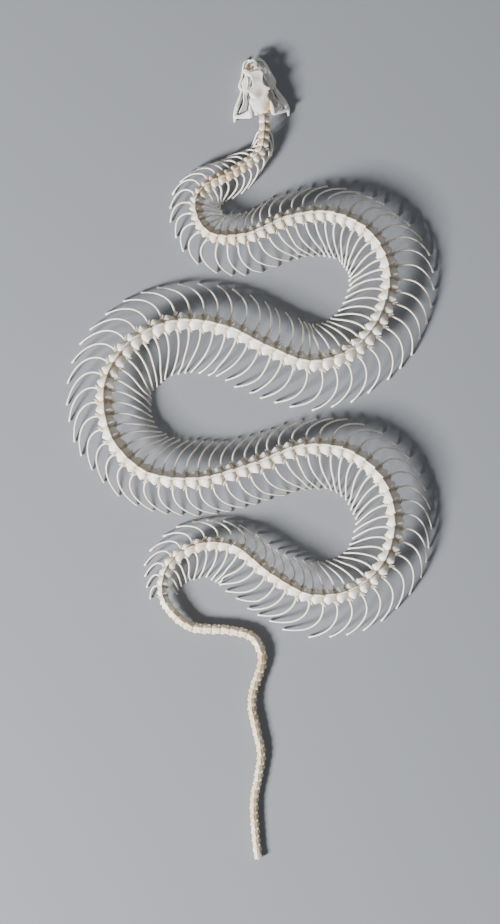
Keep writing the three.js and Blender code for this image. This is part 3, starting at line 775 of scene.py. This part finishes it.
def snout():
    """Nasal bones, the premaxilla across the tip, and the thin bones round the two nostrils."""
    clay = Clay()

    def roof(y):
        return 8.2 - 0.02 * max(0, y - 20) ** 2.4

    clay.plate([(-1.7, 20.2), (1.7, 20.2), (1.1, 21.6), (0.75, 23.2), (0.9, 24.8), (0.5, 26.2),
                (-0.5, 26.2), (-0.9, 24.8), (-0.75, 23.2), (-1.1, 21.6)], lambda y: roof(y) - 1.0, roof)
    clay.rod([(0, 20.4, 7.0, 1.4, 1.3), (0, 23.4, 6.2, 0.9, 1.7), (0, 26.0, 4.9, 1.1, 2.2)])
    clay.rod([(-3.4, 25.9, 4.4, 1.0, 0.9), (-1.7, 26.7, 4.6, 1.2, 1.2), (0, 26.5, 4.8, 1.2, 1.7),
              (1.7, 26.7, 4.6, 1.2, 1.2), (3.4, 25.9, 4.4, 1.0, 0.9)])
    for side in (-1, 1):
        clay.ball((side * 2.4, 26.5, 4.7), (1.2, 0.8, 0.7), (0.2, 0, side * 0.3))
        clay.rod(mirrored([(3.2, 26.0, 4.5, 1.0, 0.8), (4.5, 24.6, 4.6, 0.9, 0.7), (5.0, 23.0, 4.9, 0.9, 0.7),
                           (4.9, 21.8, 5.6, 1.1, 0.8)], side))
        # Turned bone inside the nostril.
        clay.rod(mirrored([(0.8, 24.6, 5.2, 0.7, 0.7), (1.9, 24.0, 4.6, 0.8, 0.5),
                           (2.6, 22.8, 4.4, 0.9, 0.5)], side))
    points, polygons = clay.fused(0.13, smooth=4, keep=0.7)
    # The suture between the nasal bones.
    x, y, z = points.T
    points[:, 2] -= 0.2 * np.exp(-((x / 0.13) ** 2)) * ((y < 26) & (z > roof(24) - 1.2))
    # Thin floor of the two nostrils.
    palate = Clay()
    for side in (-1, 1):
        palate.ball((side * 2.6, 23.0, 3.6), (2.2, 2.8, 0.45))
    floor = palate.fused(0.15, smooth=3, keep=0.5)

    def aged(at):
        """Tan in the nostrils, more so in the left one."""
        x, y, z = at.T
        return (z < 4.3) * np.where(x < 0, 1.0, 0.3) + 0.5 * (x < -1.2) * (y < 25) * (z < 5.4)

    skull_piece("snout", [(points, polygons, False), (*floor, True)], aged)


# Stations of the paired bones, for the right side: x, y, z, width, height.
PREFRONTAL = [(3.0, 18.7, 8.1, 1.5, 0.9), (4.0, 20.0, 7.7, 3.0, 1.0), (5.2, 21.4, 7.1, 2.3, 0.8)]
PREFRONTAL_FOOT = [(4.3, 20.0, 7.4, 1.3, 0.8), (5.0, 20.2, 6.4, 1.0, 0.9), (5.2, 20.8, 5.9, 1.1, 0.8)]
POSTORBITAL = [(5.4, 11.5, 8.5, 1.0, 0.9), (6.5, 12.2, 7.5, 0.9, 0.8), (7.2, 12.5, 6.1, 0.7, 0.8)]
MAXILLA = [(5.2, 22.2, 6.3, 1.4, 0.9), (5.3, 22.0, 5.4, 2.0, 1.6), (5.4, 21.3, 4.2, 1.9, 1.9)]
FANG = [
    (5.4, 21.2, 4.3, 1.4, 1.4), (5.5, 20.9, 3.4, 0.95, 0.95), (5.5, 20.2, 2.4, 0.7, 0.7),
    (5.3, 19.2, 1.5, 0.42, 0.42), (5.2, 18.3, 1.0, 0.16, 0.16),
]
SPARE_FANG = [(4.7, 21.0, 4.2, 0.8, 0.8), (4.6, 20.3, 3.2, 0.56, 0.56), (4.6, 19.3, 2.3, 0.2, 0.2)]
ECTOPTERYGOID = [
    (4.9, 20.2, 4.6, 1.8, 0.9), (5.1, 18.6, 4.6, 2.0, 0.7), (6.2, 15.6, 4.5, 4.0, 0.6),
    (6.6, 12.8, 4.4, 3.0, 0.7), (7.3, 10.4, 4.2, 1.4, 0.7),
]
ECTOPTERYGOID_RIDGE = [(5.0, 19.2, 4.9, 0.8, 0.6), (4.8, 15.6, 4.9, 0.7, 0.6), (6.0, 11.8, 4.7, 0.8, 0.6)]
SUPRATEMPORAL = [
    (4.8, 5.6, 8.0, 0.8, 0.7), (5.4, 2.8, 8.0, 1.7, 0.9), (5.6, 0.2, 7.9, 2.1, 1.0), (5.7, -1.9, 7.6, 1.8, 1.1),
]
QUADRATE = [
    (5.4, -0.3, 7.0, 3.8, 1.2), (6.8, -0.4, 6.7, 4.0, 1.1), (8.6, -0.6, 6.0, 2.9, 1.0),
    (11.0, -0.6, 4.9, 1.9, 1.0), (12.6, -0.4, 4.2, 1.9, 1.2), (13.5, -0.3, 3.8, 2.1, 1.3),
]
QUADRATE_RIDGE = [(6.2, -1.9, 7.0, 0.7, 0.9), (9.0, -1.3, 5.9, 0.6, 0.8), (12.4, -0.9, 4.4, 0.7, 0.8)]
# These lie differently on the two sides; the right pterygoid shows its full width.
PTERYGOID = {
    1: [
        (2.6, 21.3, 5.0, 0.9, 0.7), (3.2, 16.8, 4.6, 1.1, 0.8), (4.6, 12.6, 4.3, 1.8, 0.8),
        (5.7, 9.6, 3.9, 3.0, 0.65), (6.0, 6.4, 3.7, 3.3, 0.55), (7.3, 3.6, 3.5, 3.8, 0.55),
        (8.8, 1.7, 3.4, 3.2, 0.55), (10.4, 0.8, 3.4, 1.2, 0.7),
    ],
    -1: [
        (2.6, 21.3, 5.0, 0.9, 0.7), (3.2, 16.8, 4.6, 1.1, 0.8), (4.8, 12.8, 4.3, 1.6, 0.8),
        (6.9, 9.2, 3.9, 1.7, 0.65), (7.3, 5.6, 3.7, 2.2, 0.55), (8.6, 2.9, 3.5, 3.2, 0.55),
        (10.3, 1.0, 3.4, 1.4, 0.7),
    ],
}
PTERYGOID_RIDGE = {
    1: [
        (5.0, 12.4, 4.5, 0.8, 0.7), (6.9, 9.2, 4.2, 0.7, 0.6), (7.5, 6.2, 4.0, 0.6, 0.6),
        (9.0, 3.4, 3.8, 0.6, 0.6), (10.5, 1.4, 3.6, 0.8, 0.8),
    ],
    -1: [
        (5.6, 12.7, 4.5, 0.8, 0.7), (7.6, 10.3, 4.3, 0.8, 0.7), (8.1, 6.3, 4.1, 0.9, 0.7),
        (9.6, 3.6, 3.9, 0.8, 0.7), (11.1, 1.3, 3.6, 0.8, 0.8),
    ],
}
MANDIBLE = {
    1: [
        (2.2, 27.3, 0.9, 0.9, 1.0), (3.6, 26.5, 0.95, 1.0, 1.5), (4.8, 25.1, 1.0, 1.1, 1.7),
        (6.1, 22.2, 1.1, 1.2, 2.0), (7.2, 19.0, 1.2, 1.3, 2.2), (8.6, 15.0, 1.35, 1.7, 2.5),
        (8.1, 12.4, 1.4, 1.8, 2.7), (9.6, 8.4, 1.6, 2.5, 2.8), (11.8, 4.3, 1.6, 2.7, 2.8),
        (13.3, 0.4, 1.5, 2.1, 2.6), (13.2, -3.2, 1.3, 1.0, 1.3),
    ],
    -1: [
        (3.3, 27.4, 0.9, 1.1, 1.0), (4.7, 26.6, 0.95, 1.2, 1.5), (5.7, 25.0, 1.0, 1.2, 1.7),
        (6.5, 22.2, 1.1, 1.2, 2.0), (7.4, 19.0, 1.2, 1.3, 2.2), (9.0, 15.0, 1.35, 1.7, 2.5),
        (8.3, 12.4, 1.4, 1.8, 2.7), (9.8, 8.4, 1.6, 2.3, 2.8), (12.0, 4.3, 1.6, 2.4, 2.8),
        (13.4, 0.4, 1.5, 2.1, 2.6), (14.0, -2.8, 1.3, 1.0, 1.3),
    ],
}
TEETH = 9
TOOTH_ROW = (0.05, 0.42)  # where the teeth begin and end, as parts of the jaw's length
TOOTH_HEIGHT = 0.75
TOOTH_RADIUS = 0.19


def toothed(clay, jaw, side):
    """Small teeth leaning back, on top of a jaw."""
    per_span = 8
    path = smooth_path([s[:3] for s in jaw], per_span)
    tall = np.interp(np.arange(len(path)), np.arange(len(jaw)) * per_span, [s[4] for s in jaw])
    first, last = TOOTH_ROW
    for k in range(TEETH):
        i = int((first + (last - first) * k / (TEETH - 1)) * (len(path) - 1))
        x, y, z = path[i]
        base = (side * x, y, z + tall[i] / 2 - 0.15)
        clay.cone(base, (side * (x - 0.25), y - 0.45, base[2] + TOOTH_HEIGHT), TOOTH_RADIUS, sides=6)


def paired_bones(side):
    """The bones of one side of the skull (-1 left, 1 right)."""
    name = "right" if side == 1 else "left"

    def fused_bar(stations, extra=None, voxel=0.13, power=2.3):
        clay = Clay()
        clay.rod(mirrored(stations, side), sides=16, per_span=6, power=power)
        if extra:
            extra(clay)
        return clay.fused(voxel, smooth=3, keep=0.6)

    def bone(kind, stations, extra=None, **how):
        skull_piece(f"{kind}_{name}", [(*fused_bar(stations, extra, **how), False)])

    def ridge(stations):
        return lambda clay: clay.rod(mirrored(stations, side))

    bone("prefrontal", PREFRONTAL, ridge(PREFRONTAL_FOOT))
    bone("postorbital", POSTORBITAL)

    # Maxilla with its fang and the spare one beside it.
    clay = Clay()
    clay.ball((side * 5.4, 21.4, 5.0), (1.25, 1.15, 1.3))
    clay.rod(mirrored(MAXILLA, side))
    clay.rod(mirrored(FANG, side), sides=14)
    clay.rod(mirrored(SPARE_FANG, side))
    skull_piece(f"maxilla_{name}", [(*clay.fused(0.1, smooth=3, keep=0.7), False)])

    bone("ectopterygoid", ECTOPTERYGOID, ridge(ECTOPTERYGOID_RIDGE))

    # Pterygoid: a thin blade with a thicker ridge along it.
    blade = fused_bar(PTERYGOID[side], power=2.6)
    clay = Clay()
    clay.rod(mirrored(PTERYGOID_RIDGE[side], side), per_span=6)
    edge = clay.fused(0.13, smooth=3, keep=0.6)
    skull_piece(f"pterygoid_{name}", [(*blade, True), (*edge, False)])

    bone("supratemporal", SUPRATEMPORAL)
    bone("quadrate", QUADRATE, ridge(QUADRATE_RIDGE))

    jaw = MANDIBLE[side]

    def jaw_parts(clay):
        toothed(clay, jaw, side)
        # Upper edges of the jaw behind the teeth, and the saddle that carries the quadrate.
        middle, swell, rear, joint = (jaw[k][0] for k in (6, 7, 8, 9))
        clay.rod(mirrored([(middle + 0.1, 11.6, 2.7, 0.7, 0.9), (swell + 0.2, 8.4, 3.2, 0.7, 0.9),
                           (rear + 0.2, 4.4, 3.1, 0.8, 0.8)], side))
        clay.rod(mirrored([(joint - 0.9, 0.9, 2.6, 1.2, 1.0), (joint + 0.2, 0.1, 2.7, 1.5, 1.0)], side))
        clay.rod(mirrored([(swell - 0.5, 7.9, 2.2, 0.6, 0.8), (rear - 0.9, 4.3, 2.1, 0.6, 0.9),
                           (joint - 0.8, 1.2, 2.3, 0.7, 0.8)], side))

    bone("mandible", jaw, jaw_parts, voxel=0.14, power=2.6)


# ------------------------------------------------------------------ floor, light and camera
# The camera looks straight down; its picture is PICTURE_HEIGHT tall at the height of the bones.
PICTURE_CENTRE = (-0.32, -2.11)
PICTURE_HEIGHT = 462.0
CAMERA_HEIGHT = 1700.0
BONE_LEVEL = 9.0
SENSOR = 36.0

# From here on in metres and watts.
FLOOR_HALF = 1.6
FLOOR_LEVEL = -0.0002
FLOOR_TONE = (0.23, 0.24, 0.26, 1)
LIGHTS = {  # place, size, power
    "key": ((-1.25, -0.95, 0.85), 0.4, 116),
    "fill": ((0.4, 0.5, 1.9), 1.6, 6),
}
SKY_TONE = (0.9, 0.94, 1, 1)
SKY_STRENGTH = 0.15


def surroundings():
    """Plain pale floor, soft light from the left, and the camera."""
    corners = [(-1, -1), (1, -1), (1, 1), (-1, 1)]
    mesh = bpy.data.meshes.new("floor")
    mesh.from_pydata([(x * FLOOR_HALF, y * FLOOR_HALF, 0) for x, y in corners], [], [(0, 1, 2, 3)])
    floor = bpy.data.objects.new("floor", mesh)
    bpy.context.collection.objects.link(floor)
    paper = bpy.data.materials.new("floor")
    paper.use_nodes = True
    shader = paper.node_tree.nodes["Principled BSDF"]
    shader.inputs["Base Color"].default_value = FLOOR_TONE
    shader.inputs["Roughness"].default_value = 0.9
    mesh.materials.append(paper)
    floor.location.z = FLOOR_LEVEL

    for name, (place, size, power) in LIGHTS.items():
        light = bpy.data.lights.new(name, "AREA")
        light.size = size
        light.energy = power
        lamp = bpy.data.objects.new(name, light)
        lamp.location = place
        lamp.rotation_euler = (-Vector(place)).to_track_quat("-Z", "Y").to_euler()
        bpy.context.collection.objects.link(lamp)

    world = bpy.data.worlds.new("studio")
    world.use_nodes = True
    sky = world.node_tree.nodes["Background"]
    sky.inputs["Color"].default_value = SKY_TONE
    sky.inputs["Strength"].default_value = SKY_STRENGTH
    bpy.context.scene.world = world

    camera = bpy.data.cameras.new("camera")
    camera.sensor_width = SENSOR
    camera.lens = SENSOR * (CAMERA_HEIGHT - BONE_LEVEL) / PICTURE_HEIGHT
    eye = bpy.data.objects.new("camera", camera)
    eye.location = (PICTURE_CENTRE[0] * MM, PICTURE_CENTRE[1] * MM, CAMERA_HEIGHT * MM)
    bpy.context.collection.objects.link(eye)
    bpy.context.scene.camera = eye


spine_pieces()
cranium()
snout()
for which in (-1, 1):
    paired_bones(which)
surroundings()
